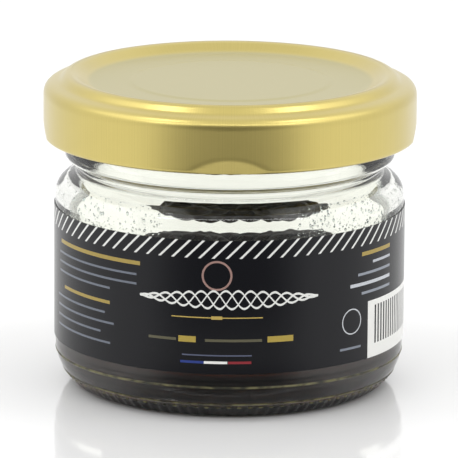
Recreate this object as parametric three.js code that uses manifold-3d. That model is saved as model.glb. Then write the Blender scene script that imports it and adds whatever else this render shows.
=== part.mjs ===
// A small glass preserve jar with a gold twist-off lid, holding one black truffle in a little of its juice.
// Millimetres, +Z up. The origin is the middle of the ring that the jar stands on; the jar's front faces -Y.

import * as THREE from 'three';
import { ConvexHull } from 'three/addons/math/ConvexHull.js';
import { mergeVertices } from 'three/addons/utils/BufferGeometryUtils.js';
import Module from 'manifold-3d';

// Driving dimensions of the glass
const BODY_RADIUS = 26.0;
const BODY_WALL = 2.3;
const FLOOR_Z = 2.2;
const PUSH_UP = 0.8;
const STAND_RADIUS = 20.0;
const HEEL_RADIUS = 22.9;
const HEEL_TOP_Z = 3.6;
const SHOULDER_Z = 30.5;
const WAIST_RADIUS = 22.7;
const WAIST_LOW_Z = 32.4;
const WAIST_TOP_Z = 33.6;
const WAIST_WALL = 2.2;
const BEAD_RADIUS = 24.6;
const BEAD_LOW_Z = 34.3;
const BEAD_TOP_Z = 36.3;
const FINISH_RADIUS = 24.2;
const MOUTH_RADIUS = 21.2;
const RIM_Z = 44.4;

// The four-start thread of the finish, which the lid's lugs catch under
const LUG_COUNT = 4;
const THREAD_PITCH = 9.0;
const THREAD_RADIUS = 26.05;
const THREAD_HEIGHT = 1.5;
const THREAD_START = -19;
const THREAD_SWEEP = 66;
const THREAD_LOW_Z = 39.2;
const ROOT_DEPTH = 0.6;

// The tinplate lid
const LID_RADIUS = 27.75;
const SHEET = 0.25;
const LID_LOW_Z = 37.4;
const CURL_INNER_RADIUS = 26.35;
const CURL_HEIGHT = 1.9;
const CURL_ROUND = 0.65;
const SHOULDER_ROUND = 1.5;
const LEDGE_FALL = 0.6;
const RIDGE_FOOT_RADIUS = 25.3;
const LEDGE_Z = 45.8;
const RIDGE_RADIUS = 24.1;
const RIDGE_INNER_RADIUS = 23.3;
const RIDGE_ROUND = 0.7;
const RIDGE_Z = 46.95;
const PANEL_RADIUS = 20.6;
const PANEL_Z = 45.6;
const BUTTON_RADIUS = 15.3;
const BUTTON_RISE = 0.14;
const BUTTON_SLOPE = 0.8;
const LUG_SWEEP = 18;
const LUG_INNER_RADIUS = 25.0;
const LUG_HEIGHT = 1.3;
const THREAD_GAP = 0.3;
const LUG_DENT = 0.75;
const LUG_DENT_HEIGHT = 2.3;
const LUG_DENT_BLOCK = [30, 4, 4];

// The sealing ring under the lid
const SEAL_INNER_RADIUS = 21.5;
const SEAL_OUTER_RADIUS = 25.2;
const SEAL_LOW_Z = 44.7;
const SEAL_HEIGHT = 0.9;

// The wrap-round label
const LABEL_GAP = 0.06;
const LABEL_FILM = 0.14;
const LABEL_LOW_Z = 7.4;
const LABEL_HEIGHT = 19.9;
const LABEL_SWEEP = 204;

// The truffle
const TRUFFLE_HALF = new THREE.Vector3(18.7, 14.6, 9.65);
const TRUFFLE_CENTRE = new THREE.Vector3(1.1, -0.6, 12.95);
const WART_SPACING = 2.75;
const WART_HEIGHT = 0.85;
const WART_TOP = 0.52;
const WART_TOP_HEIGHT = 0.74;
const GROOVE_DEPTH = 0.3;
const WART_TRIES = 9000;
const TRUFFLE_SEED = 20;
// Each swelling or hollow: where it points, how far it stands out as a share of the radius, and how tight it is
const LOBES = [
  { towards: [-0.62, -0.25, 0.75], height: 0.20, tightness: 5.5 },
  { towards: [0.74, -0.05, 0.70], height: 0.23, tightness: 6 },
  { towards: [0.08, -0.20, 1.0], height: -0.34, tightness: 14 },
  { towards: [0.25, -1.0, -0.1], height: 0.10, tightness: 7 },
  { towards: [-0.45, 0.85, 0.1], height: 0.12, tightness: 6 },
  { towards: [0.45, 0.85, 0.3], height: -0.10, tightness: 10 },
  { towards: [-0.95, -0.3, -0.35], height: 0.07, tightness: 8 },
  { towards: [-0.3, -1.0, 0.25], height: -0.09, tightness: 14 },
];

// The juice round its foot
const JUICE_GAP = 0.3;
const JUICE_LEVEL_Z = 6.4;
const HOLE_GAP = 0.4;

// How finely the round pieces are cut
const SEGMENTS = 60;
const CORNER_POINTS = 2;
const THREAD_STEPS = 14;
const LUG_STEPS = 4;
const HOLE_FACETS = [30, 20];

const QUARTER = Math.PI / 2;
const wasm = await Module();
wasm.setup();

// Turns a closed geometry into a solid that can be joined and cut.
function toSolid(geometry) {
  const bare = geometry.index ? geometry.toNonIndexed() : geometry.clone();
  bare.deleteAttribute('normal');
  bare.deleteAttribute('uv');
  const merged = mergeVertices(bare, 1e-4);
  return new wasm.Manifold(new wasm.Mesh({
    numProp: 3,
    vertProperties: new Float32Array(merged.attributes.position.array),
    triVerts: new Uint32Array(merged.index.array),
  }));
}

// Gives a solid's triangles back as a geometry.
function toGeometry(solid) {
  const mesh = solid.getMesh();
  const geometry = new THREE.BufferGeometry();
  geometry.setAttribute('position', new THREE.BufferAttribute(new Float32Array(mesh.vertProperties), mesh.numProp));
  geometry.setIndex(new THREE.BufferAttribute(new Uint32Array(mesh.triVerts), 1));
  geometry.computeVertexNormals();
  return geometry;
}

// Draws an outline through its corners, each given as radius, height and how far from the corner its rounding starts.
function outlineThrough(corners) {
  const outline = new THREE.Path();
  const point = ([radius, height]) => new THREE.Vector2(radius, height);
  corners.forEach((corner, i) => {
    const here = point(corner);
    const rounding = corner[2] || 0;
    if (i === 0) {
      outline.moveTo(here.x, here.y);
    } else if (rounding === 0) {
      outline.lineTo(here.x, here.y);
    } else {
      const back = point(corners[i - 1]).sub(here).setLength(rounding).add(here);
      const on = point(corners[i + 1]).sub(here).setLength(rounding).add(here);
      outline.lineTo(back.x, back.y);
      outline.quadraticCurveTo(here.x, here.y, on.x, on.y);
    }
  });
  return outline.getPoints(CORNER_POINTS);
}

// Revolves an outline about +Z. It runs up the outside and down the inside.
function revolve(corners) {
  const geometry = new THREE.LatheGeometry(outlineThrough(corners), SEGMENTS);
  geometry.rotateX(QUARTER);
  return geometry;
}

// Bends a bar round +Z: its section is drawn as radius and height, and it climbs by the pitch over a full turn.
// Angles are degrees from the front, counter-clockwise seen from above.
function bendRound(section, start, sweep, steps, pitch) {
  const geometry = new THREE.ExtrudeGeometry(section, { depth: 1, steps, bevelEnabled: false });
  const position = geometry.attributes.position;
  for (let i = 0; i < position.count; i += 1) {
    const radius = position.getX(i);
    const height = position.getY(i);
    const degrees = start + sweep * (1 - position.getZ(i));
    const angle = THREE.MathUtils.degToRad(degrees);
    const climb = pitch * (degrees / 360);
    position.setXYZ(i, radius * Math.sin(angle), -radius * Math.cos(angle), height + climb);
  }
  return geometry;
}

// Repeats a solid at each of the lid's lugs.
function atEachLug(solid) {
  const copies = [];
  for (let i = 0; i < LUG_COUNT; i += 1) {
    copies.push(solid.rotate([0, 0, (360 / LUG_COUNT) * i]));
  }
  return copies;
}

// The jar: a pressed glass body with a heel, a shoulder, a waist, a bead and a threaded finish
function glassJar() {
  const inner = BODY_RADIUS - BODY_WALL;
  const waistInner = WAIST_RADIUS - WAIST_WALL;
  const outside = [
    [0, PUSH_UP],
    [STAND_RADIUS - 1.4, PUSH_UP - 0.2],
    [STAND_RADIUS, 0],
    [HEEL_RADIUS, 0, 1.2],
    [BODY_RADIUS, HEEL_TOP_Z, 2.8],
    [BODY_RADIUS, SHOULDER_Z, 1.9],
    [WAIST_RADIUS, WAIST_LOW_Z, 0.6],
    [WAIST_RADIUS, WAIST_TOP_Z, 0.6],
    [BEAD_RADIUS, BEAD_LOW_Z, 0.9],
    [BEAD_RADIUS, BEAD_TOP_Z, 0.9],
    [FINISH_RADIUS, BEAD_TOP_Z + 0.7],
    [FINISH_RADIUS, RIM_Z, 0.8],
  ];
  const inside = [
    [MOUTH_RADIUS, RIM_Z, 0.8],
    [MOUTH_RADIUS, WAIST_TOP_Z + 1],
    [waistInner, WAIST_TOP_Z - 0.3],
    [waistInner + 0.4, WAIST_LOW_Z - 0.5],
    [inner - 0.8, SHOULDER_Z - 0.4],
    [inner, SHOULDER_Z - 2.3],
    [inner, FLOOR_Z + 3.6],
    [inner - 0.7, FLOOR_Z + 1.5],
    [inner - 2.3, FLOOR_Z + 0.3],
    [inner - 4.7, FLOOR_Z],
    [0, FLOOR_Z],
  ];

  const section = new THREE.Shape();
  section.moveTo(FINISH_RADIUS - ROOT_DEPTH, THREAD_LOW_Z);
  section.lineTo(THREAD_RADIUS - 0.2, THREAD_LOW_Z);
  section.lineTo(THREAD_RADIUS, THREAD_LOW_Z + 0.3);
  section.lineTo(THREAD_RADIUS, THREAD_LOW_Z + 0.7);
  section.lineTo(FINISH_RADIUS, THREAD_LOW_Z + THREAD_HEIGHT);
  section.lineTo(FINISH_RADIUS - ROOT_DEPTH, THREAD_LOW_Z + THREAD_HEIGHT);
  const thread = toSolid(bendRound(section, THREAD_START, THREAD_SWEEP, THREAD_STEPS, THREAD_PITCH));

  let jar = toSolid(revolve([...outside, ...inside]));
  for (const copy of atEachLug(thread)) {
    jar = jar.add(copy);
  }
  return toGeometry(jar);
}

// The lid: drawn tinplate with a rolled lower edge, a raised ridge, a sunk panel with its safety button, and lugs
function lidShell() {
  const curlTop = LID_LOW_Z + CURL_HEIGHT;
  const sheetInner = LID_RADIUS - SHEET;
  const underside = [
    [0, PANEL_Z + BUTTON_RISE - SHEET],
    [BUTTON_RADIUS - BUTTON_SLOPE, PANEL_Z + BUTTON_RISE - SHEET],
    [BUTTON_RADIUS, PANEL_Z - SHEET],
    [PANEL_RADIUS, PANEL_Z - SHEET],
    [RIDGE_INNER_RADIUS, RIDGE_Z - SHEET],
    [RIDGE_RADIUS, RIDGE_Z - SHEET],
    [RIDGE_FOOT_RADIUS, LEDGE_Z - SHEET],
    [sheetInner, LEDGE_Z - LEDGE_FALL - SHEET, SHOULDER_ROUND],
    [sheetInner, curlTop + 0.9],
  ];
  const curl = [
    [CURL_INNER_RADIUS, curlTop],
    [CURL_INNER_RADIUS, LID_LOW_Z, CURL_ROUND],
    [LID_RADIUS, LID_LOW_Z, CURL_ROUND],
  ];
  const outside = [
    [LID_RADIUS, LEDGE_Z - LEDGE_FALL, SHOULDER_ROUND],
    [RIDGE_FOOT_RADIUS + 0.1, LEDGE_Z, 0.4],
    [RIDGE_RADIUS + 0.3, RIDGE_Z, RIDGE_ROUND],
    [RIDGE_INNER_RADIUS, RIDGE_Z, 0.6],
    [PANEL_RADIUS + 0.4, PANEL_Z, 1],
    [BUTTON_RADIUS, PANEL_Z],
    [BUTTON_RADIUS - BUTTON_SLOPE, PANEL_Z + BUTTON_RISE],
    [0, PANEL_Z + BUTTON_RISE],
  ];

  const lugTop = THREAD_LOW_Z - THREAD_GAP;
  const section = new THREE.Shape();
  section.moveTo(CURL_INNER_RADIUS + ROOT_DEPTH, lugTop);
  section.lineTo(LUG_INNER_RADIUS + 0.4, lugTop);
  section.lineTo(LUG_INNER_RADIUS, lugTop - 0.4);
  section.lineTo(LUG_INNER_RADIUS + 0.2, lugTop - LUG_HEIGHT);
  section.lineTo(CURL_INNER_RADIUS + ROOT_DEPTH, lugTop - LUG_HEIGHT);
  const lug = toSolid(bendRound(section, -LUG_SWEEP / 2, LUG_SWEEP, LUG_STEPS, THREAD_PITCH));

  // A leaning block that flattens the rolled edge in front of each lug
  const [, blockDepth, blockHeight] = LUG_DENT_BLOCK;
  const block = new THREE.BoxGeometry(...LUG_DENT_BLOCK);
  block.translate(0, -blockDepth / 2, -blockHeight / 2);
  block.rotateX(-Math.atan2(LUG_DENT, LUG_DENT_HEIGHT));
  block.translate(0, -LID_RADIUS, LID_LOW_Z + LUG_DENT_HEIGHT);
  const dent = toSolid(block);

  let lid = toSolid(revolve([...underside, ...curl, ...outside]));
  for (const copy of atEachLug(dent)) {
    lid = lid.subtract(copy);
  }
  for (const copy of atEachLug(lug)) {
    lid = lid.add(copy);
  }
  return toGeometry(lid);
}

// The sealing compound: a flat ring with a rounded top that fills the channel under the lid's ridge
function sealRing() {
  const top = SEAL_LOW_Z + SEAL_HEIGHT;
  const corners = [
    [SEAL_INNER_RADIUS, SEAL_LOW_Z],
    [SEAL_OUTER_RADIUS, SEAL_LOW_Z],
    [SEAL_OUTER_RADIUS - 0.3, top - 0.35],
    [RIDGE_RADIUS, top],
    [RIDGE_INNER_RADIUS, top],
    [SEAL_INNER_RADIUS, top - 0.45],
    [SEAL_INNER_RADIUS, SEAL_LOW_Z],
  ];
  return toGeometry(toSolid(revolve(corners)));
}

// The label: one strip of film stuck round the front and sides of the glass; the back stays bare
function wrapLabel() {
  const steps = Math.round((SEGMENTS * LABEL_SWEEP) / 360);
  const inner = BODY_RADIUS + LABEL_GAP;
  const section = new THREE.Shape();
  section.moveTo(inner, LABEL_LOW_Z);
  section.lineTo(inner + LABEL_FILM, LABEL_LOW_Z);
  section.lineTo(inner + LABEL_FILM, LABEL_LOW_Z + LABEL_HEIGHT);
  section.lineTo(inner, LABEL_LOW_Z + LABEL_HEIGHT);
  return toGeometry(toSolid(bendRound(section, -LABEL_SWEEP / 2, LABEL_SWEEP, steps, 0)));
}

// A repeatable random number from 0 to 1
function seededRandom(seed) {
  let state = seed;
  return () => {
    state = (state * 1664525 + 1013904223) % 4294967296;
    return state / 4294967296;
  };
}

// The truffle's smooth form in a given direction: a low ellipsoid with its lobes and hollows
function trufflePoint(direction) {
  const scaled = direction.clone().divide(TRUFFLE_HALF);
  let reach = 1 / scaled.length();
  for (const lobe of LOBES) {
    const towards = new THREE.Vector3(...lobe.towards).normalize();
    reach *= 1 + lobe.height * Math.exp(lobe.tightness * (direction.dot(towards) - 1));
  }
  return direction.clone().multiplyScalar(reach);
}

// Wart centres strewn at random, none nearer to another than the spacing
function wartDirections() {
  const random = seededRandom(TRUFFLE_SEED);
  const directions = [];
  const places = [];
  for (let i = 0; i < WART_TRIES; i += 1) {
    const height = 2 * random() - 1;
    const angle = 2 * Math.PI * random();
    const across = Math.sqrt(1 - height * height);
    const direction = new THREE.Vector3(across * Math.cos(angle), across * Math.sin(angle), height);
    const place = trufflePoint(direction);
    if (places.every((other) => other.distanceTo(place) > WART_SPACING)) {
      directions.push(direction);
      places.push(place);
    }
  }
  return directions;
}

// The truffle: each wart is a blunt pyramid standing on the polygon of ground nearest to its centre,
// and the grooves run between the polygons.
function truffle() {
  const directions = wartDirections();
  const hull = new ConvexHull().setFromPoints(directions);
  const sideCount = new Map();
  const neighbours = [];
  for (const face of hull.faces) {
    const corners = [face.getEdge(0).head().point, face.getEdge(1).head().point, face.getEdge(2).head().point];
    const groove = corners[0].clone().add(corners[1]).add(corners[2]).normalize();
    face.groove = trufflePoint(groove).addScaledVector(groove, -GROOVE_DEPTH);
    for (const corner of corners) {
      sideCount.set(corner, (sideCount.get(corner) || 0) + 1);
    }
  }
  for (const face of hull.faces) {
    for (let i = 0; i < 3; i += 1) {
      const edge = face.getEdge(i);
      neighbours.push({ wart: edge.head().point, here: face.groove, there: edge.twin.face.groove });
    }
  }

  const vertices = [];
  const addTriangle = (a, b, c) => vertices.push(...a.toArray(), ...b.toArray(), ...c.toArray());
  for (const { wart, here, there } of neighbours) {
    const centre = trufflePoint(wart);
    const outward = centre.clone().divide(TRUFFLE_HALF).divide(TRUFFLE_HALF).normalize();
    const peak = centre.clone().addScaledVector(outward, WART_HEIGHT);
    const lift = (corner) => corner.clone().lerp(centre, WART_TOP).addScaledVector(outward, WART_HEIGHT * WART_TOP_HEIGHT);
    const near = lift(here);
    const far = lift(there);
    addTriangle(here, there, far);
    addTriangle(here, far, near);
    addTriangle(near, far, peak);
  }
  const geometry = new THREE.BufferGeometry();
  geometry.setAttribute('position', new THREE.Float32BufferAttribute(vertices, 3));
  geometry.translate(...TRUFFLE_CENTRE.toArray());
  return geometry;
}

// The juice: a shallow pool on the jar's floor, with a plain hole where the truffle's foot stands
function juice() {
  const inner = BODY_RADIUS - BODY_WALL - JUICE_GAP;
  const low = FLOOR_Z + JUICE_GAP;
  const corners = [
    [0, low],
    [inner - 4.7, low],
    [inner - 2.3, low + 0.35],
    [inner - 0.7, low + 1.6],
    [inner - 0.15, JUICE_LEVEL_Z],
    [0, JUICE_LEVEL_Z],
  ];

  const hole = new THREE.SphereGeometry(1, ...HOLE_FACETS);
  const position = hole.attributes.position;
  for (let i = 0; i < position.count; i += 1) {
    const direction = new THREE.Vector3().fromBufferAttribute(position, i).normalize();
    const place = trufflePoint(direction);
    const outward = place.clone().divide(TRUFFLE_HALF).divide(TRUFFLE_HALF).normalize();
    place.addScaledVector(outward, WART_HEIGHT + HOLE_GAP).add(TRUFFLE_CENTRE);
    position.setXYZ(i, ...place.toArray());
  }
  return toGeometry(toSolid(revolve(corners)).subtract(toSolid(hole)));
}

const materials = {
  glass_jar: { color: 0xf2f6f0, roughness: 0.04, metalness: 0, transparent: true, opacity: 0.35 },
  lid_shell: { color: 0xc9b673, roughness: 0.3, metalness: 0.9 },
  lid_gasket: { color: 0xe9e4d6, roughness: 0.6, metalness: 0 },
  wrap_label: { color: 0x1c1d21, roughness: 0.35, metalness: 0 },
  truffle: { color: 0x1f1b19, roughness: 0.85, metalness: 0 },
  juice: { color: 0x3a2416, roughness: 0.1, metalness: 0 },
};

const shapes = {
  glass_jar: glassJar(),
  lid_shell: lidShell(),
  lid_gasket: sealRing(),
  wrap_label: wrapLabel(),
  truffle: truffle(),
  juice: juice(),
};

const jarOfTruffle = new THREE.Group();
for (const [name, geometry] of Object.entries(shapes)) {
  const mesh = new THREE.Mesh(geometry, new THREE.MeshStandardMaterial(materials[name]));
  mesh.name = name;
  jarOfTruffle.add(mesh);
}

export default jarOfTruffle;
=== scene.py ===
import math
import random

import bpy
import numpy as np
from mathutils import Matrix, Vector, noise


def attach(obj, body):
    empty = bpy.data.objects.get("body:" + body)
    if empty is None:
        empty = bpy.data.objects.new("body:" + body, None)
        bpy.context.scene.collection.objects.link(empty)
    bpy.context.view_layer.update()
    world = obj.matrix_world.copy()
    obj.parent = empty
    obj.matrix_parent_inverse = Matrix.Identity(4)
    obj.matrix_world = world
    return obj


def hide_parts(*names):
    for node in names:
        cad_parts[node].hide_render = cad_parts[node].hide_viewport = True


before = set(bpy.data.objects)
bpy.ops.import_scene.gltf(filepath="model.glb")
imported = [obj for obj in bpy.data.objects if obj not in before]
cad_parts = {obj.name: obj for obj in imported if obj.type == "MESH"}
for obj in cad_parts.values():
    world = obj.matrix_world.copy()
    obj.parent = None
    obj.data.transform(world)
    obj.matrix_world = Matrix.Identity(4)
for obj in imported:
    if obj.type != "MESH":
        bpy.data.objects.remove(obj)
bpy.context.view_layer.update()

# The camera: a long lens a little above the table, looking level with the middle of the jar.
# Its height and slight lean come from the rims of the lid and the base, which show as ellipses.
MM = 0.001
CAMERA_DISTANCE = 850.9 * MM
CAMERA_ELEVATION = math.radians(13.155)
CAMERA_LEAN = math.radians(0.348)
CAMERA_LENS = 447.5
CAMERA_SHIFT = -0.0009
CAMERA_SENSOR = 36
CAMERA_CLIP = (0.05, 20)
TARGET = Vector((0, 0, 23 * MM))

bpy.ops.object.select_all(action="DESELECT")
camera = bpy.data.objects.new("camera", bpy.data.cameras.new("camera"))
bpy.context.collection.objects.link(camera)
look = Vector((0, math.cos(CAMERA_ELEVATION), -math.sin(CAMERA_ELEVATION)))
place = TARGET - look * CAMERA_DISTANCE
turn = look.to_track_quat("-Z", "Y").to_matrix().to_4x4() @ Matrix.Rotation(CAMERA_LEAN, 4, "Z")
camera.matrix_world = Matrix.Translation(place) @ turn
camera.data.lens = CAMERA_LENS
camera.data.sensor_width = CAMERA_SENSOR
camera.data.shift_x = CAMERA_SHIFT
camera.data.clip_start, camera.data.clip_end = CAMERA_CLIP
bpy.context.scene.camera = camera

# The stage: a glossy white acrylic sheet under a white sweep. The sweep is dark on the camera's side and
# brightest high up at both sides, and the camera itself sees it plain white. The sheet carries a painted
# shade in front of the jar that only its reflections show, so the lid's skirt, the label and the jar's foot
# mirror it dark there.
FLOOR_SIZE = 1.6
FLOOR_WHITE = "#FAFAFA"
FLOOR_SHADED = "#828282"
FLOOR_ROUGHNESS = 0.08
FLOOR_IOR = 1.9
# Distances from the jar's axis in metres: where each shade starts and is full, and where it ends
NEAR_SHADE = (0.0235, 0.028)
NEAR_SHADE_END = (0.062, 0.051)
FAR_SHADE = (0.064, 0.090)
FAR_SHADE_END = (0.14, 0.22)
LEFT_FAR_OFF = 0.3
SHADE_HEADING = (-0.6, -0.96)
SWEEP_BACK = 0.98
SWEEP_SIDE = 1.1
SWEEP_FRONT = 0.16
SWEEP_HIGH_SIDES = 1.7
SWEEP_TOP = 0.95
# Where the sweep's parts begin and are full, as parts of a unit direction: X is right, Y away, Z up
BACK_AWAY = (0.3, 0.6)
BACK_LOW = (0.55, 0.35)
FRONT_LIFT = -0.5
FRONT_EDGE = (-1.05, -0.65)
HIGH_SIDES_UP = (0.42, 0.58)
HIGH_SIDES_ASIDE = (0.38, 0.55)
HIGH_SIDES_ABREAST = (0.38, 0.18)
TOP_UP = (0.75, 0.92)


def linear(code):
    """Turns an sRGB hex colour such as #C8A050 into the linear values that Blender works in."""
    channels = [int(code[i:i + 2], 16) / 255 for i in (1, 3, 5)]
    return tuple(c / 12.92 if c <= 0.04045 else ((c + 0.055) / 1.055) ** 2.4 for c in channels) + (1.0,)


def add_node(tree, kind, settings=None, inputs=None):
    """Adds a node with its settings. An input is a value, a socket, or a node, whose first output is used."""
    node = tree.nodes.new(kind)
    for name, value in (settings or {}).items():
        setattr(node, name, value)
    for name, value in (inputs or {}).items():
        if isinstance(value, bpy.types.Node):
            tree.links.new(value.outputs[0], node.inputs[name])
        elif isinstance(value, bpy.types.NodeSocket):
            tree.links.new(value, node.inputs[name])
        else:
            node.inputs[name].default_value = value
    return node


def new_material(name):
    """Starts a material and returns it with its node tree and its principled shader."""
    material = bpy.data.materials.new(name)
    material.use_nodes = True
    return material, material.node_tree, material.node_tree.nodes["Principled BSDF"]


bpy.ops.mesh.primitive_plane_add(size=FLOOR_SIZE, location=(0, 0, 0))
floor = bpy.context.object
floor.name = "floor"
acrylic, tree, shader = new_material("white_acrylic_sheet")
shader.inputs["Roughness"].default_value = FLOOR_ROUGHNESS
shader.inputs["IOR"].default_value = FLOOR_IOR
fade = {"interpolation_type": "SMOOTHSTEP"}
times = {"operation": "MULTIPLY"}
on_floor = add_node(tree, "ShaderNodeTexCoord").outputs["Object"]
from_jar = add_node(tree, "ShaderNodeVectorMath", {"operation": "LENGTH"}, {0: on_floor}).outputs["Value"]
heading = add_node(tree, "ShaderNodeVectorMath", {"operation": "NORMALIZE"}, {0: on_floor})
forward = add_node(tree, "ShaderNodeSeparateXYZ", inputs={0: heading}).outputs["Y"]
far = add_node(
    tree, "ShaderNodeMapRange", fade, {"Value": from_jar, 1: FAR_SHADE[0], 2: FAR_SHADE[1]}
)
near_in = add_node(
    tree, "ShaderNodeMapRange", fade, {"Value": from_jar, 1: NEAR_SHADE[0], 2: NEAR_SHADE[1]}
)
near_out = add_node(
    tree, "ShaderNodeMapRange", fade, {"Value": from_jar, 1: NEAR_SHADE_END[0], 2: NEAR_SHADE_END[1]}
)
near = add_node(tree, "ShaderNodeMath", times, {0: near_in, 1: near_out})
in_front = add_node(
    tree, "ShaderNodeMapRange", fade, {"Value": forward, 1: SHADE_HEADING[0], 2: SHADE_HEADING[1]}
)
too_far = add_node(
    tree, "ShaderNodeMapRange", fade,
    {"Value": from_jar, 1: FAR_SHADE_END[0], 2: FAR_SHADE_END[1], 3: 1.0, 4: LEFT_FAR_OFF}
)
mirrored = add_node(tree, "ShaderNodeLightPath").outputs["Is Glossy Ray"]
shade = add_node(tree, "ShaderNodeMath", {"operation": "MAXIMUM"}, {0: near, 1: far})
for limit in (in_front, too_far, mirrored):
    shade = add_node(tree, "ShaderNodeMath", times, {0: shade, 1: limit})
# The painted shade: the sheet turns grey only for glossy rays, near the jar and in front of it
floor_colour = add_node(
    tree, "ShaderNodeMix", {"data_type": "RGBA"},
    {0: shade, 6: linear(FLOOR_WHITE), 7: linear(FLOOR_SHADED)}
)
tree.links.new(floor_colour.outputs[2], shader.inputs["Base Color"])
floor.data.materials.append(acrylic)

world = bpy.data.worlds.new("white_sweep")
world.use_nodes = True
bpy.context.scene.world = world
tree = world.node_tree
direction = add_node(tree, "ShaderNodeTexCoord").outputs["Generated"]
towards = add_node(tree, "ShaderNodeSeparateXYZ", inputs={0: direction})
away = towards.outputs["Y"]
upward = towards.outputs["Z"]
aside = add_node(tree, "ShaderNodeMath", {"operation": "ABSOLUTE"}, {0: towards.outputs["X"]})
behind = add_node(tree, "ShaderNodeMapRange", fade, {"Value": away, 1: BACK_AWAY[0], 2: BACK_AWAY[1]})
low = add_node(tree, "ShaderNodeMapRange", fade, {"Value": upward, 1: BACK_LOW[0], 2: BACK_LOW[1]})
low_behind = add_node(tree, "ShaderNodeMath", times, {0: behind, 1: low})
lifted = add_node(
    tree, "ShaderNodeMath", {"operation": "MULTIPLY_ADD"}, {0: upward, 1: FRONT_LIFT, 2: away}
)
to_side = add_node(
    tree, "ShaderNodeMapRange", fade, {"Value": lifted, 1: FRONT_EDGE[0], 2: FRONT_EDGE[1]}
)
high = add_node(
    tree, "ShaderNodeMapRange", fade, {"Value": upward, 1: HIGH_SIDES_UP[0], 2: HIGH_SIDES_UP[1]}
)
far_aside = add_node(
    tree, "ShaderNodeMapRange", fade, {"Value": aside, 1: HIGH_SIDES_ASIDE[0], 2: HIGH_SIDES_ASIDE[1]}
)
abreast = add_node(
    tree, "ShaderNodeMapRange", fade, {"Value": away, 1: HIGH_SIDES_ABREAST[0], 2: HIGH_SIDES_ABREAST[1]}
)
on_high_sides = add_node(tree, "ShaderNodeMath", times, {0: high, 1: far_aside})
on_high_sides = add_node(tree, "ShaderNodeMath", times, {0: on_high_sides, 1: abreast})
to_top = add_node(tree, "ShaderNodeMapRange", fade, {"Value": upward, 1: TOP_UP[0], 2: TOP_UP[1]})
strength = add_node(tree, "ShaderNodeMix", inputs={"Factor": to_side, 2: SWEEP_FRONT, 3: SWEEP_SIDE})
for part, part_strength in ((low_behind, SWEEP_BACK), (on_high_sides, SWEEP_HIGH_SIDES), (to_top, SWEEP_TOP)):
    strength = add_node(tree, "ShaderNodeMix", inputs={"Factor": part, 2: strength, 3: part_strength})
by_camera = add_node(tree, "ShaderNodeLightPath").outputs["Is Camera Ray"]
shown = add_node(tree, "ShaderNodeMix", inputs={"Factor": by_camera, 2: strength, 3: 1.0})
background = tree.nodes["Background"]
background.inputs["Color"].default_value = (1, 1, 1, 1)
tree.links.new(shown.outputs[0], background.inputs["Strength"])

# Three softboxes hang over the jar: two to its left and right, which glint on the lid's ridge, and a long
# one in front, which draws the line of light along the lid's shoulder. They aren't seen through the glass.
SOFTBOX_DISTANCE = 0.62
# Each softbox is given as its direction from the jar, width and height in metres, and power in watts
SOFTBOXES = {
    "left": ((-0.40, -0.12, 0.90), (0.12, 0.12), 0.27),
    "right": ((0.42, -0.12, 0.90), (0.12, 0.12), 0.27),
    "front": ((0, -0.66, 0.75), (1.10, 0.06), 1.0),
}
for softbox_name, (aim, size, watts) in SOFTBOXES.items():
    bpy.ops.object.light_add(type="AREA")
    softbox = bpy.context.object
    softbox.name = f"softbox_{softbox_name}"
    aim = Vector(aim).normalized()
    softbox.location = TARGET + aim * SOFTBOX_DISTANCE
    softbox.rotation_euler = aim.to_track_quat("Z", "Y").to_euler()
    softbox.data.shape = "RECTANGLE"
    softbox.data.size = size[0]
    softbox.data.size_y = size[1]
    softbox.data.energy = watts
    softbox.visible_transmission = False

bpy.context.scene.view_settings.view_transform = "Standard"

# The jar: clear soda-lime glass, blown and pressed in a mould, with a knurled ring under its base, a
# rounded heel and shoulder, a narrow waist, a bead, and a finish with four thread ramps. It stands on
# its base. Corners are in millimetres: radius, height and, if rounded, how far the rounding reaches.
FINISH = 24.2
GLASS_OUTSIDE = [
    (0, 0.8), (18.6, 0.6, 0.5), (20.0, 0.0, 0.3), (22.9, 0.0, 1.2), (26.0, 3.6, 2.8), (26.0, 30.5, 1.9),
    (22.7, 32.4, 0.6), (22.7, 33.6, 0.6), (24.6, 34.3, 0.9), (24.6, 36.3, 0.9), (FINISH, 37.0, 0.2),
]
FINISH_ROWS = [(FINISH, height) for height in np.linspace(37.4, 43.4, 24)]
GLASS_INSIDE = [
    (FINISH, 44.4, 0.8), (21.2, 44.4, 0.8), (21.2, 34.4, 0.7), (20.5, 33.2, 0.5), (20.5, 32.3, 0.5),
    (23.7, 29.4, 1.7), (23.7, 2.2, 4.0), (0, 2.2),
]
ROUND_STEPS = 240
GLASS_STEPS = 480
ROUNDING_CUTS = 6
MERGED_WITHIN = 0.002 * MM
SHARP_FROM = math.radians(50)
KNURLS = 96
KNURL_DEPTH = 0.3 * MM
KNURL_FLANKS = (0.25, 0.75)
KNURL_LOW = (0.2 * MM, 0.7 * MM)
KNURL_HIGH = (1.6 * MM, 2.1 * MM)
KNURL_INNER_RADIUS = 22.2 * MM
LUG_SPACING = 90
THREAD_RADIUS = 26.05 * MM
THREAD_START = -19
THREAD_SWEEP = 66
THREAD_RUN_IN = 4
THREAD_RUN_OUT = 6
THREAD_MIDDLE = 39.95 * MM
THREAD_HALF_HEIGHT = 0.85 * MM
THREAD_FULLNESS = 0.6
THREAD_PITCH = 9.0 * MM
ON_FINISH_WITHIN = 0.01 * MM


def outline_through(corners):
    """Gives the points of an outline from its corners."""
    points = []
    for i, corner in enumerate(corners):
        here = np.array(corner[:2], float)
        reach = corner[2] if len(corner) > 2 else 0
        if reach == 0:
            points.append(here)
            continue
        back = np.array(corners[i - 1][:2]) - here
        on = np.array(corners[i + 1][:2]) - here
        start = here + back / np.linalg.norm(back) * reach
        end = here + on / np.linalg.norm(on) * reach
        for t in np.linspace(0, 1, ROUNDING_CUTS + 1):
            points.append((1 - t) ** 2 * start + 2 * t * (1 - t) * here + t ** 2 * end)
    return [Vector((radius * MM, 0, height * MM)) for radius, height in points]


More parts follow.
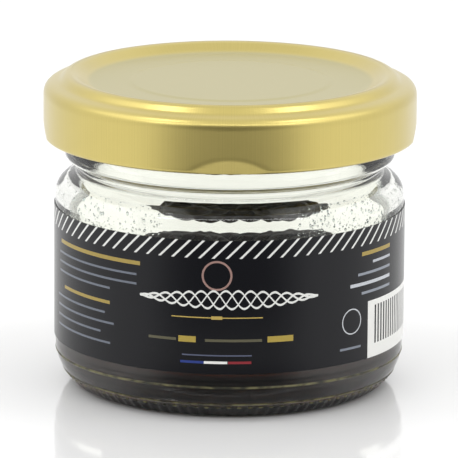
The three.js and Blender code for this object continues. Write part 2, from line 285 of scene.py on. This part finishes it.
def turned(name, corners, steps=ROUND_STEPS):
    """Models a round piece: a point is drawn out along half the section and spun about the jar's axis."""
    outline = outline_through(corners)
    bpy.ops.object.select_all(action="DESELECT")
    bpy.ops.mesh.primitive_plane_add(size=MM, location=(0, 0, 0))
    piece = bpy.context.object
    piece.name = name
    bpy.ops.object.mode_set(mode="EDIT")
    bpy.ops.mesh.merge(type="CENTER")
    bpy.ops.transform.translate(value=outline[0])
    for last, point in zip(outline, outline[1:]):
        bpy.ops.mesh.extrude_vertices_move(TRANSFORM_OT_translate={"value": point - last})
    bpy.ops.mesh.select_all(action="SELECT")
    bpy.ops.mesh.spin(steps=steps, angle=2 * math.pi, center=(0, 0, 0), axis=(0, 0, 1))
    bpy.ops.mesh.select_all(action="SELECT")
    bpy.ops.mesh.remove_doubles(threshold=MERGED_WITHIN)
    bpy.ops.mesh.normals_make_consistent(inside=False)
    bpy.ops.object.mode_set(mode="OBJECT")
    bpy.ops.object.shade_smooth_by_angle(angle=SHARP_FROM)
    return piece


def read_points(piece):
    """Gives a piece's vertices as radius, degrees from the front counter-clockwise, and height."""
    points = np.empty(len(piece.data.vertices) * 3)
    piece.data.vertices.foreach_get("co", points)
    x, y, z = points.reshape(-1, 3).T
    return np.hypot(x, y), np.degrees(np.arctan2(x, -y)), z


def write_points(piece, radius, degrees, height):
    """Puts a piece's vertices back from radius, degrees from the front and height."""
    angle = np.radians(degrees)
    points = np.stack([radius * np.sin(angle), -radius * np.cos(angle), height], axis=1)
    piece.data.vertices.foreach_set("co", points.ravel())
    piece.data.update()


def smooth_step(value, low, high):
    """Rises smoothly from 0 at low to 1 at high."""
    t = np.clip((value - low) / (high - low), 0, 1)
    return t * t * (3 - 2 * t)


glass = turned("glass_jar_body", [*GLASS_OUTSIDE, *FINISH_ROWS, *GLASS_INSIDE], GLASS_STEPS)
radius, degrees, height = read_points(glass)

# The thread ramps swell out of the finish, each from its run-in to its run-out
from_start = (degrees - THREAD_START) % LUG_SPACING
middle = THREAD_MIDDLE + THREAD_PITCH * (from_start + THREAD_START) / 360
across = np.clip(1 - ((height - middle) / THREAD_HALF_HEIGHT) ** 2, 0, 1) ** THREAD_FULLNESS
run_out = smooth_step(from_start, THREAD_SWEEP - THREAD_RUN_OUT, THREAD_SWEEP)
along = smooth_step(from_start, 0, THREAD_RUN_IN) * (1 - run_out)
on_finish = np.abs(radius - FINISH * MM) < ON_FINISH_WITHIN
radius = radius + on_finish * across * along * (THREAD_RADIUS - FINISH * MM)

# The knurls are cut into the heel, all round
knurl = smooth_step(np.abs((degrees / (360 / KNURLS)) % 1 - 0.5) * 2, *KNURL_FLANKS)
on_heel = smooth_step(height, *KNURL_LOW) * (1 - smooth_step(height, *KNURL_HIGH))
radius = radius - on_heel * (radius > KNURL_INNER_RADIUS) * knurl * KNURL_DEPTH
write_points(glass, radius, degrees, height)

# Soda-lime glass refracts at 1.52 and is all but colourless in so thin a wall. The mould leaves a faint
# ripple on it, whose waves are about 5 mm apart.
clear_glass, tree, shader = new_material("soda_lime_glass")
shader.inputs["Base Color"].default_value = linear("#FBFCF6")
shader.inputs["Roughness"].default_value = 0.0
shader.inputs["IOR"].default_value = 1.52
shader.inputs["Specular IOR Level"].default_value = 0.35
shader.inputs["Transmission Weight"].default_value = 1.0
on_glass = add_node(tree, "ShaderNodeTexCoord").outputs["Object"]
ripple = add_node(tree, "ShaderNodeTexNoise", inputs={"Vector": on_glass, "Scale": 190.0, "Detail": 1.0})
rippled = add_node(
    tree, "ShaderNodeBump", inputs={"Height": ripple, "Strength": 0.12, "Distance": 0.4 * MM}
)
tree.links.new(rippled.outputs[0], shader.inputs["Normal"])
glass.data.materials.append(clear_glass)
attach(glass, "jar")
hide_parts("glass_jar")

# The mould marks: the seam where the mould's body met its base plate, the edge of that plate, and the
# worn tips of the knurls. They have the glass's index but are opaque and scuffed matt, and their olive colour
# is painted light: it stands in for the greenish glints of floor light seen through the thick glass.
SEAM_OUTLINE = [(25.7, 5.0), (25.95, 5.08), (26.0, 5.2), (25.95, 5.32), (25.7, 5.4), (25.7, 5.0)]
PLATE_OUTLINE = [(24.6, 2.3), (24.86, 2.3), (24.95, 2.4), (24.98, 2.52), (24.7, 2.6), (24.6, 2.3)]
TIP_RADIUS = 24.42 * MM
TIP_HEIGHT = 1.85 * MM
TIP_SIZE = (0.36 * MM, 0.12 * MM, 0.15 * MM)


def round_axis(degrees, radius, height, size):
    """Gives the matrix that shapes a ball to a size and puts it at a place round the jar's axis."""
    spun = Matrix.Rotation(math.radians(degrees), 4, "Z")
    return spun @ Matrix.Translation((0, -radius, height)) @ Matrix.Diagonal((*size, 1))


def beads(name, places):
    """Models small beads as one piece: one ball, copied to each place and shaped there."""
    bpy.ops.object.select_all(action="DESELECT")
    bpy.ops.mesh.primitive_uv_sphere_add(segments=8, ring_count=6, radius=1, location=(0, 0, 0))
    piece = bpy.context.object
    piece.name = name
    ball = piece.data.copy()
    piece.data.transform(places[0])
    for place in places[1:]:
        bead = bpy.data.objects.new("bead", ball.copy())
        bpy.context.collection.objects.link(bead)
        bead.select_set(True)
        bead.data.transform(place)
    bpy.ops.object.join()
    bpy.ops.object.shade_smooth()
    return piece


seam = turned("mould_seam", SEAM_OUTLINE)
plate_edge = turned("mould_plate_edge", PLATE_OUTLINE)
tips = beads(
    "knurl_tips",
    [round_axis(360 * number / KNURLS, TIP_RADIUS, TIP_HEIGHT, TIP_SIZE) for number in range(KNURLS)]
)
scuffed_with_painted_glints, tree, shader = new_material("scuffed_glass_painted_glints")
shader.inputs["IOR"].default_value = 1.52
on_marks = add_node(tree, "ShaderNodeTexCoord").outputs["Object"]
scuff_and_glint_pattern = add_node(tree, "ShaderNodeTexNoise", inputs={"Vector": on_marks, "Scale": 700.0, "Detail": 2.0})
# Painted light: these olive colours stand in for glints of floor light seen through the glass
painted_glint_colours = add_node(tree, "ShaderNodeValToRGB", inputs={0: scuff_and_glint_pattern})
painted_glint_colours.color_ramp.elements[0].color = linear("#24220F")
painted_glint_colours.color_ramp.elements[1].color = linear("#77724A")
painted_glint_colours.color_ramp.elements[0].position = 0.38
painted_glint_colours.color_ramp.elements[1].position = 0.62
scuff_roughness = add_node(tree, "ShaderNodeMapRange", inputs={"Value": scuff_and_glint_pattern, 3: 0.35, 4: 0.6})
tree.links.new(painted_glint_colours.outputs[0], shader.inputs["Base Color"])
tree.links.new(scuff_roughness.outputs[0], shader.inputs["Roughness"])
for mark in (seam, plate_edge, tips):
    mark.data.materials.append(scuffed_with_painted_glints)
    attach(mark, "jar")

# The truffle: one whole black truffle, a lumpy tuber with a rind of blunt many-sided warts. It lies on
# the jar's floor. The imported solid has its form, and its rind is cut finer here, creased and pitted.
CREASE_SCALE = 900
CREASE_DEPTH = 0.11 * MM
PITTING_SCALE = 2600
PITTING_DEPTH = 0.05 * MM
RIND_MERGED_WITHIN = 0.005 * MM
# How far a point stands out of the rind, from hollow to wart, as the Geometry node gives it
WART_STANDS_OUT = (0.48, 0.56)


def merged_copy(name):
    """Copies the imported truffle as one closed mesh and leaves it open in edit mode, selected all over."""
    bpy.ops.object.select_all(action="DESELECT")
    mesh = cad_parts["truffle"].data.copy()
    copy = bpy.data.objects.new(name, mesh)
    bpy.context.collection.objects.link(copy)
    bpy.context.view_layer.objects.active = copy
    copy.select_set(True)
    bpy.ops.object.mode_set(mode="EDIT")
    bpy.ops.mesh.select_all(action="SELECT")
    bpy.ops.mesh.remove_doubles(threshold=RIND_MERGED_WITHIN)
    return copy


tuber = merged_copy("truffle_body")
bpy.ops.mesh.subdivide(number_cuts=1)
bpy.ops.object.mode_set(mode="OBJECT")
softened = tuber.modifiers.new("softened", "SUBSURF")
softened.levels = 1
softened.render_levels = 1
bpy.ops.object.modifier_apply(modifier="softened")
outward = [vertex.normal.copy() for vertex in tuber.data.vertices]
for vertex, normal in zip(tuber.data.vertices, outward):
    crease = noise.noise(vertex.co * CREASE_SCALE)
    pitting = noise.noise(vertex.co * PITTING_SCALE)
    vertex.co += normal * (abs(crease) * -CREASE_DEPTH + pitting * PITTING_DEPTH)
tuber.data.update()
bpy.ops.object.shade_smooth()

# The rind is nearly black with 2 mm mottles, browner on the warts, with a fine grain of about 0.4 mm and
# a dull sheen from the juice.
rind, tree, shader = new_material("wet_truffle_rind")
on_rind = add_node(tree, "ShaderNodeTexCoord").outputs["Object"]
mottle = add_node(tree, "ShaderNodeTexNoise", inputs={"Vector": on_rind, "Scale": 420.0, "Detail": 4.0})
colours = add_node(tree, "ShaderNodeValToRGB", inputs={0: mottle})
colours.color_ramp.elements[0].color = linear("#040303")
colours.color_ramp.elements[1].color = linear("#16110D")
colours.color_ramp.elements[0].position = 0.35
colours.color_ramp.elements[1].position = 0.75
grain = add_node(tree, "ShaderNodeTexNoise", inputs={"Vector": on_rind, "Scale": 2400.0, "Detail": 3.0})
raised = add_node(tree, "ShaderNodeNewGeometry").outputs["Pointiness"]
on_wart = add_node(
    tree, "ShaderNodeMapRange", fade, {"Value": raised, 1: WART_STANDS_OUT[0], 2: WART_STANDS_OUT[1]}
)
rind_colour = add_node(
    tree, "ShaderNodeMix", {"data_type": "RGBA"}, {0: on_wart, 6: colours.outputs[0], 7: linear("#3B3026")}
)
rind_roughness = add_node(tree, "ShaderNodeMapRange", inputs={"Value": grain, 3: 0.45, 4: 0.7})
grained = add_node(tree, "ShaderNodeBump", inputs={"Height": grain, "Strength": 0.5, "Distance": 0.1 * MM})
shader.inputs["Specular IOR Level"].default_value = 0.25
tree.links.new(rind_colour.outputs[2], shader.inputs["Base Color"])
tree.links.new(rind_roughness.outputs[0], shader.inputs["Roughness"])
tree.links.new(grained.outputs[0], shader.inputs["Normal"])
tuber.data.materials.clear()
tuber.data.materials.append(rind)
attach(tuber, "jar")
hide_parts("truffle")

# The juice: a shallow pool of dark brown liquid that wets the glass and the truffle's foot and climbs the
# glass a little at its edge. It reaches 0.15 mm into the glass and a little into the rind, so that no gap
# shows where they meet. Thin layers of it are red-brown, and thick ones nearly black.
JUICE_OUTLINE = [
    (0, 2.05), (23.85, 2.05, 4.0), (23.85, 6.95), (23.45, 6.6, 0.2), (22.9, 6.4, 0.3), (0, 6.4),
]
HOLE_INSIDE_RIND = 0.35 * MM

pool = turned("truffle_juice", JUICE_OUTLINE, GLASS_STEPS)
foot = merged_copy("truffle_foot")
bpy.ops.transform.shrink_fatten(value=-HOLE_INSIDE_RIND)
bpy.ops.object.mode_set(mode="OBJECT")
bpy.context.view_layer.objects.active = pool
hole = pool.modifiers.new("hole", "BOOLEAN")
hole.operation = "DIFFERENCE"
hole.object = foot
bpy.ops.object.modifier_apply(modifier="hole")
bpy.data.objects.remove(foot)
brine, tree, shader = new_material("truffle_juice_brown")
shader.inputs["Base Color"].default_value = linear("#7A4C2C")
shader.inputs["Roughness"].default_value = 0.02
shader.inputs["IOR"].default_value = 1.34
shader.inputs["Specular IOR Level"].default_value = 0.1
shader.inputs["Transmission Weight"].default_value = 1.0
absorbed = add_node(
    tree, "ShaderNodeVolumeAbsorption", inputs={"Color": linear("#E0944A"), "Density": 450.0}
)
tree.links.new(absorbed.outputs[0], tree.nodes["Material Output"].inputs["Volume"])
pool.data.materials.append(brine)
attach(pool, "jar")
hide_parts("juice")

# The condensation: fine drops of water that the chilled juice has left on the inside of the glass, at the
# left and right of the shoulder's start. Each is a flattened bead that clings to the wall.
DROP_COUNT = 900
DROP_RADII = (0.06 * MM, 0.22 * MM)
DROP_FLATNESS = 0.5
DROP_HEIGHTS = (26.6 * MM, 30.2 * MM)
DROP_DEGREES = (24, 96)
# Two drops in three lie on the right
DROP_SIDES = (-1, 1, 1)
INNER_RADIUS = 23.7 * MM
SHOULDER_START = 27.7 * MM
SHOULDER_CURVE = 0.16 / MM
DROP_SEED = 7

dice = random.Random(DROP_SEED)
drop_places = []
for number in range(DROP_COUNT):
    drop_height = dice.uniform(*DROP_HEIGHTS)
    wall = INNER_RADIUS - SHOULDER_CURVE * max(drop_height - SHOULDER_START, 0) ** 2
    drop_degrees = dice.choice(DROP_SIDES) * dice.uniform(*DROP_DEGREES)
    drop_size = DROP_RADII[0] + (DROP_RADII[1] - DROP_RADII[0]) * dice.random() ** 3
    flattened = (drop_size, drop_size * DROP_FLATNESS, drop_size)
    drop_places.append(round_axis(drop_degrees, wall, drop_height, flattened))
drops = beads("condensation_drops", drop_places)
water, tree, shader = new_material("condensed_water")
shader.inputs["Base Color"].default_value = linear("#F4FAFC")
shader.inputs["Roughness"].default_value = 0.0
shader.inputs["IOR"].default_value = 1.333
shader.inputs["Transmission Weight"].default_value = 1.0
drops.data.materials.append(water)
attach(drops, "jar")

# The label: one strip of printed film stuck round the front and sides of the glass, with its two ends
# apart at the back. Its inner side is plain white.
LABEL_RADIUS = 26.02 * MM
LABEL_FILM = 0.16 * MM
LABEL_LOW = 7.4 * MM
LABEL_HEIGHT = 19.9 * MM
LABEL_SWEEP = 204
LABEL_LENGTH = math.radians(LABEL_SWEEP) * LABEL_RADIUS / MM
LABEL_CELLS = (204, 20)
LABEL_SHARP_FROM = math.radians(30)

bpy.ops.object.select_all(action="DESELECT")
bpy.ops.mesh.primitive_grid_add(x_subdivisions=LABEL_CELLS[0], y_subdivisions=LABEL_CELLS[1], size=1)
label = bpy.context.object
label.name = "label_film"
flat = np.empty(len(label.data.vertices) * 3)
label.data.vertices.foreach_get("co", flat)
across, up, _ = flat.reshape(-1, 3).T
radius = np.full(across.shape, LABEL_RADIUS)
write_points(label, radius, across * LABEL_SWEEP, LABEL_LOW + (up + 0.5) * LABEL_HEIGHT)
bpy.ops.object.mode_set(mode="EDIT")
bpy.ops.mesh.select_all(action="SELECT")
bpy.ops.mesh.normals_make_consistent(inside=False)
bpy.ops.object.mode_set(mode="OBJECT")
if label.data.polygons[0].normal.dot(label.data.polygons[0].center) < 0:
    label.data.flip_normals()
film = label.modifiers.new("film", "SOLIDIFY")
film.thickness = LABEL_FILM
film.offset = 1
film.material_offset = 1
film.material_offset_rim = 1
bpy.ops.object.modifier_apply(modifier="film")
bpy.ops.object.shade_smooth_by_angle(angle=LABEL_SHARP_FROM)

# The print: black ink with the trim in white, gold, copper and a three-colour rule, under a clear gloss
# varnish. Its places are in millimetres round the jar from the middle of the front, and up from the table.
LABEL_INK = "#07080F"
HATCH_INK = "#E9EAE6"
HATCH_PITCH = 2.0
HATCH_LINE = 0.42
HATCH_LOW = 24.66
MIDDLE = -1.75
# Each ring is given as its ink, middle, height above the table, radius and half its line
RINGS = [("#A08078", MIDDLE, 22.09, 2.08, 0.15), ("#C9CCD0", 19.8, 13.6, 1.85, 0.09)]
WAVE_PLACE = (0.0, 18.5)
WAVE_SIZE = (27.0, 1.35)
WAVE_LENGTH = 5.4
WAVE_LINE = 0.16
# Each bar is given as its ink, middle, height above the table, length and thickness
BARS = [
    ("#BFA65A", MIDDLE, 15.8, 13.4, 0.16), ("#BFA65A", MIDDLE, 15.8, 1.6, 0.5),
    ("#5F5C48", -9.9, 12.4, 4.3, 0.4), ("#B09A48", -6.1, 12.5, 2.6, 0.9),
    ("#5F5C48", 0.7, 12.4, 8.3, 0.4), ("#B09A48", 7.6, 12.5, 3.9, 0.9),
    ("#5A6076", MIDDLE, 10.15, 10.2, 0.2),
    ("#2C3F86", -5.35, 9.1, 3.5, 0.38), ("#F2F2EE", -1.9, 9.1, 3.4, 0.38), ("#8E2B33", 1.6, 9.1, 3.4, 0.38),
    ("#A8924C", -23.0, 23.1, 19.0, 0.6), ("#A8924C", -25.0, 16.4, 12.0, 0.5),
    ("#A8924C", 25.6, 23.4, 7.6, 0.6),
    ("#B9BDC4", 26.9, 21.9, 5.0, 0.4), ("#8E949E", 25.2, 20.4, 8.4, 0.4), ("#C6CAD0", 24.4, 18.9, 10.0, 0.5),
    ("#8E949E", 25.6, 17.5, 7.6, 0.4), ("#7F8590", 19.6, 9.6, 4.2, 0.35),
]
# Each grey row is given as its middle, height above the table and length
GREY_ROWS = [
    (-23.6, 21.4, 19.0), (-23.6, 20.0, 19.0), (-26.0, 18.6, 14.0),
    (-27.0, 14.8, 14.0), (-26.0, 13.3, 15.6), (-27.4, 11.8, 13.0), (-26.4, 10.3, 15.0),
]
ROW_INK = "#6F7580"
ROW_LINE = 0.32
PANEL_INK = "#EDEDE9"
PANEL_PLACE = (34.3, 11.7)
PANEL_SIZE = (22.0, 8.7)
STRIPE_INK = "#1A1B20"
STRIPES_PLACE = (34.3, 12.3)
STRIPES_SIZE = (19.2, 5.8)
STRIPE_PITCH = 0.8
STRIPE_LINE = 0.4

print_ink, tree, shader = new_material("varnished_label_print")
sheet = add_node(
    tree, "ShaderNodeMapping", inputs={
        "Vector": add_node(tree, "ShaderNodeTexCoord").outputs["UV"],
        "Scale": (LABEL_LENGTH, LABEL_HEIGHT / MM, 1),
        "Location": (-LABEL_LENGTH / 2, LABEL_LOW / MM, 0),
    }
)
on_sheet = add_node(tree, "ShaderNodeSeparateXYZ", inputs={0: sheet})
across = on_sheet.outputs["X"]
up = on_sheet.outputs["Y"]
minus = {"operation": "SUBTRACT"}
divided = {"operation": "DIVIDE"}
fraction = {"operation": "FRACT"}
near_to = {"operation": "COMPARE"}


def within(middle, size):
    """Gives 1 inside a rectangle of the sheet and 0 outside it."""
    in_x = add_node(tree, "ShaderNodeMath", near_to, {0: across, 1: middle[0], 2: size[0] / 2})
    in_y = add_node(tree, "ShaderNodeMath", near_to, {0: up, 1: middle[1], 2: size[1] / 2})
    return add_node(tree, "ShaderNodeMath", times, {0: in_x, 1: in_y})


def inked(under, where, ink):
    """Lays an ink over what is already printed."""
    over = add_node(tree, "ShaderNodeMix", {"data_type": "RGBA"}, {0: where, 6: under, 7: linear(ink)})
    return over.outputs[2]


# The hatched band along the top edge: slanting white lines
slant = add_node(tree, "ShaderNodeMath", minus, {0: across, 1: up})
turns = add_node(tree, "ShaderNodeMath", divided, {0: slant, 1: HATCH_PITCH})
part = add_node(tree, "ShaderNodeMath", fraction, {0: turns})
line = add_node(tree, "ShaderNodeMath", near_to, {0: part, 1: 0.5, 2: HATCH_LINE / HATCH_PITCH / 2})
band_top = (LABEL_LOW + LABEL_HEIGHT) / MM
band = within((0, (HATCH_LOW + band_top) / 2), (2 * LABEL_LENGTH, band_top - HATCH_LOW))
hatched = add_node(tree, "ShaderNodeMath", times, {0: line, 1: band})
printed = inked(linear(LABEL_INK), hatched, HATCH_INK)

# The white panel at the right, with plain even stripes
printed = inked(printed, within(PANEL_PLACE, PANEL_SIZE), PANEL_INK)
turns = add_node(tree, "ShaderNodeMath", divided, {0: across, 1: STRIPE_PITCH})
part = add_node(tree, "ShaderNodeMath", fraction, {0: turns})
stripe = add_node(tree, "ShaderNodeMath", near_to, {0: part, 1: 0.5, 2: STRIPE_LINE / STRIPE_PITCH / 2})
striped = add_node(tree, "ShaderNodeMath", times, {0: stripe, 1: within(STRIPES_PLACE, STRIPES_SIZE)})
printed = inked(printed, striped, STRIPE_INK)

# Plain bars and rules
for ink, middle, height, length, thickness in BARS:
    printed = inked(printed, within((middle, height), (length, thickness)), ink)
for middle, height, length in GREY_ROWS:
    printed = inked(printed, within((middle, height), (length, ROW_LINE)), ROW_INK)

# Plain rings
for ink, middle, height, ring_radius, half_line in RINGS:
    apart = add_node(
        tree, "ShaderNodeVectorMath", {"operation": "DISTANCE"}, {0: sheet, 1: (middle, height, 0)}
    ).outputs["Value"]
    ring = add_node(tree, "ShaderNodeMath", near_to, {0: apart, 1: ring_radius, 2: half_line})
    printed = inked(printed, ring, ink)

# The flourish: interlaced waves that run out to a point at both ends
from_middle = add_node(tree, "ShaderNodeMath", minus, {0: across, 1: WAVE_PLACE[0]})
way_out = add_node(tree, "ShaderNodeMath", divided, {0: from_middle, 1: WAVE_SIZE[0] / 2})
squared = add_node(tree, "ShaderNodeMath", times, {0: way_out, 1: way_out})
swell = add_node(tree, "ShaderNodeMath", {**minus, "use_clamp": True}, {0: 1.0, 1: squared})
height_of_wave = add_node(tree, "ShaderNodeMath", times, {0: swell, 1: WAVE_SIZE[1]})
in_waves = within(WAVE_PLACE, (WAVE_SIZE[0], 3 * WAVE_SIZE[1]))
for phase in (0, 1 / 3, 2 / 3):
    angle = add_node(
        tree, "ShaderNodeMath", {"operation": "MULTIPLY_ADD"},
        {0: from_middle, 1: 2 * math.pi / WAVE_LENGTH, 2: 2 * math.pi * phase}
    )
    sine = add_node(tree, "ShaderNodeMath", {"operation": "SINE"}, {0: angle})
    crest = add_node(
        tree, "ShaderNodeMath", {"operation": "MULTIPLY_ADD"}, {0: sine, 1: height_of_wave, 2: WAVE_PLACE[1]}
    )
    on_wave = add_node(tree, "ShaderNodeMath", near_to, {0: up, 1: crest, 2: WAVE_LINE})
    wave = add_node(tree, "ShaderNodeMath", times, {0: on_wave, 1: in_waves})
    printed = inked(printed, wave, HATCH_INK)

tree.links.new(printed, shader.inputs["Base Color"])
shader.inputs["Roughness"].default_value = 0.22
shader.inputs["Specular IOR Level"].default_value = 0.3
label.data.materials.append(print_ink)
film_back, tree, shader = new_material("white_film_back")
shader.inputs["Base Color"].default_value = linear("#F2F2F0")
shader.inputs["Roughness"].default_value = 0.6
label.data.materials.append(film_back)
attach(label, "jar")
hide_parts("wrap_label")

# The lid: tinplate drawn to a shallow cap, gold-lacquered, with a rolled lower edge pressed in to a lug at
# each quarter, a raised ridge, and a sunk panel with its safety button. It screws down on the thread ramps.
LID_RADIUS = 27.75 * MM
LID_LOW = 37.4 * MM
CURL_INNER = 26.35 * MM
CURL_INNER_WITHIN = 0.35 * MM
CURL_INNER_TOP = 39.2 * MM
LID_UNDERSIDE = [
    (0, 45.49), (14.5, 45.49, 0.2), (15.3, 45.35, 0.2), (20.6, 45.35, 0.5), (23.3, 46.7, 0.4),
    (24.1, 46.7, 0.3), (25.3, 45.55, 0.4), (27.5, 44.95, 1.4), (27.5, 40.3, 0.4), (26.35, 39.3, 0.4),
]
LID_CURL_ROWS = [(26.35, height) for height in np.linspace(39.0, 38.2, 4)]
LID_CURL = [(26.35, 37.4, 0.65), (27.75, 37.4, 0.65)]
LID_SKIRT_ROWS = [(27.75, height) for height in np.linspace(38.2, 43.5, 12)]
LID_OUTSIDE = [
    (27.75, 45.2, 1.4), (25.4, 45.8, 0.4), (24.4, 46.95, 0.7), (23.3, 46.95, 0.6), (21.0, 45.6, 1.0),
    (15.3, 45.6, 0.3), (14.5, 45.74, 0.3), (0, 45.74),
]
LUG_DENT = 0.75 * MM
LUG_DENT_HEIGHT = 2.3 * MM
LUG_DENT_BEYOND = 27.2 * MM
LUG_REACH = 1.3 * MM
LUG_HALF_WIDTH = 9
LUG_FADE = 2.5

lid = turned("gold_lid", [*LID_UNDERSIDE, *LID_CURL_ROWS, *LID_CURL, *LID_SKIRT_ROWS, *LID_OUTSIDE])
radius, degrees, height = read_points(lid)

# Each lug's place is pressed flat from outside, more so lower down, which pushes the curl in under the ramp
from_lug = (degrees + LUG_SPACING / 2) % LUG_SPACING - LUG_SPACING / 2
lean = np.clip(1 - (height - LID_LOW) / LUG_DENT_HEIGHT, 0, 1)
flat_radius = (LID_RADIUS - LUG_DENT * lean) / np.cos(np.radians(from_lug))
pressed = (height < LID_LOW + LUG_DENT_HEIGHT) * (radius > LUG_DENT_BEYOND)
radius = np.where(pressed, np.minimum(radius, flat_radius), radius)
inner_side = (np.abs(radius - CURL_INNER) < CURL_INNER_WITHIN) * (height < CURL_INNER_TOP)
lug = 1 - smooth_step(np.abs(from_lug), LUG_HALF_WIDTH - LUG_FADE, LUG_HALF_WIDTH)
radius = radius - inner_side * lug * LUG_REACH
write_points(lid, radius, degrees, height)

# Gold lacquer, baked clear over bright tinplate: a pale gold metal under a satin coat. The skirt is brushed
# up and down, in lines that are drawn 0.2 mm apart so that they show. The sunk panel is left matt.
BRUSH_SPACING = 0.2
CLOUDY_PART = 0.3
PANEL_EDGE = 21.6 * MM
PANEL_GOLD = "#BDB47E"
PANEL_ROUGHNESS = 0.5
lacquer, tree, shader = new_material("gold_lacquered_tinplate")
on_lid = add_node(tree, "ShaderNodeTexCoord").outputs["Object"]
place = add_node(tree, "ShaderNodeSeparateXYZ", inputs={0: on_lid})
turned_by = add_node(
    tree, "ShaderNodeMath", {"operation": "ARCTAN2"}, {0: place.outputs["X"], 1: place.outputs["Y"]}
)
round_skirt = add_node(
    tree, "ShaderNodeMath", times, {0: turned_by, 1: LID_RADIUS / MM / BRUSH_SPACING}
)
drawn_out = add_node(tree, "ShaderNodeCombineXYZ", inputs={"X": round_skirt, "Z": place.outputs["Z"]})
brushed = add_node(tree, "ShaderNodeTexNoise", inputs={"Vector": drawn_out, "Scale": 1.0, "Detail": 2.0})
cloudy = add_node(tree, "ShaderNodeTexNoise", inputs={"Vector": on_lid, "Scale": 150.0, "Detail": 3.0})
tone = add_node(tree, "ShaderNodeMix", inputs={"Factor": CLOUDY_PART, 2: brushed, 3: cloudy})
golds = add_node(
    tree, "ShaderNodeMix", {"data_type": "RGBA"}, {0: tone, 6: linear("#BCAB5C"), 7: linear("#D8C676")}
)
level = add_node(tree, "ShaderNodeCombineXYZ", inputs={"X": place.outputs["X"], "Y": place.outputs["Y"]})
from_axis = add_node(tree, "ShaderNodeVectorMath", {"operation": "LENGTH"}, {0: level}).outputs["Value"]
on_panel = add_node(
    tree, "ShaderNodeMapRange", fade, {"Value": from_axis, 1: PANEL_EDGE, 2: PANEL_EDGE - MM}
)
toned = add_node(
    tree, "ShaderNodeMix", {"data_type": "RGBA"},
    {0: on_panel, 6: golds.outputs[2], 7: linear(PANEL_GOLD)}
)
satin = add_node(tree, "ShaderNodeMapRange", inputs={"Value": cloudy, 3: 0.26, 4: 0.38})
matt = add_node(tree, "ShaderNodeMix", inputs={"Factor": on_panel, 2: satin, 3: PANEL_ROUGHNESS})
brush_lines = add_node(
    tree, "ShaderNodeBump", inputs={"Height": brushed, "Strength": 0.35, "Distance": 0.02 * MM}
)
tree.links.new(toned.outputs[2], shader.inputs["Base Color"])
tree.links.new(matt.outputs[0], shader.inputs["Roughness"])
tree.links.new(brush_lines.outputs[0], shader.inputs["Normal"])
shader.inputs["Metallic"].default_value = 1.0
shader.inputs["Coat Weight"].default_value = 0.7
shader.inputs["Coat Roughness"].default_value = 0.3
lid.data.materials.append(lacquer)
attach(lid, "lid")
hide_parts("lid_shell")

# The sealing ring: off-white compound, flowed into the channel under the lid's ridge and baked there. It
# turns with the lid.
SEAL_OUTLINE = [
    (23.0, 44.7), (25.2, 44.7, 0.2), (24.9, 45.25, 0.2), (24.1, 45.6, 0.2), (23.3, 45.6, 0.2),
    (21.5, 45.15, 0.2), (21.5, 44.7, 0.2), (23.0, 44.7),
]
seal = turned("sealing_ring", SEAL_OUTLINE)
compound, tree, shader = new_material("plastisol_sealing_compound")
shader.inputs["Base Color"].default_value = linear("#E8E2D2")
shader.inputs["Roughness"].default_value = 0.55
seal.data.materials.append(compound)
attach(seal, "lid")
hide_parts("lid_gasket")
